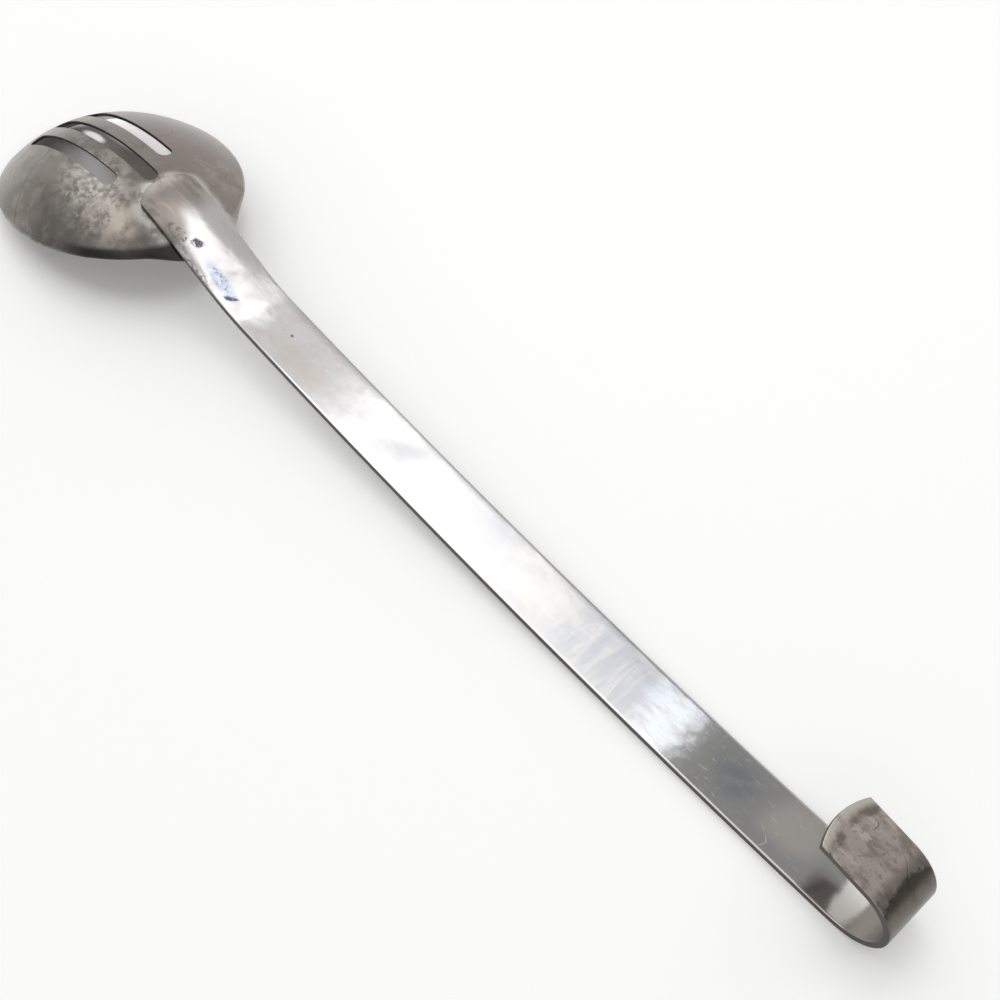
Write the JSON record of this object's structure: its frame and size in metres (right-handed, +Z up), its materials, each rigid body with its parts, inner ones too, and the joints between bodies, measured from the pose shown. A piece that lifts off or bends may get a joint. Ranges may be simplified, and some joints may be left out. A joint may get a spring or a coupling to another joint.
{
  "type": "slotted serving spoon",
  "caption": "Stainless steel slotted serving spoon: a pressed oval bowl with long drain slots, spot-welded under a flat strap handle that ends in a hanging hook.",
  "frame": {"origin": "on the table under the middle of the spoon's length and width, as it lies with the back of its bowl upwards", "axes": "+X from the bowl's tip towards the hook, +Z up out of the table and out of the spoon's back, +Y to the side"},
  "size_m": [0.3554, 0.0704, 0.03],
  "materials": {
    "bowl_steel": "satin, water-stained and lightly scratched",
    "handle_steel": "polished, with fine scratches and a worn hook",
    "weld_steel": "dull as-welded"
  },
  "bodies": {
    "root": {"bowl": "bowl_steel", "handle": "handle_steel", "spot_weld_front": "weld_steel", "spot_weld_rear": "weld_steel"}
  },
  "joints": []
}
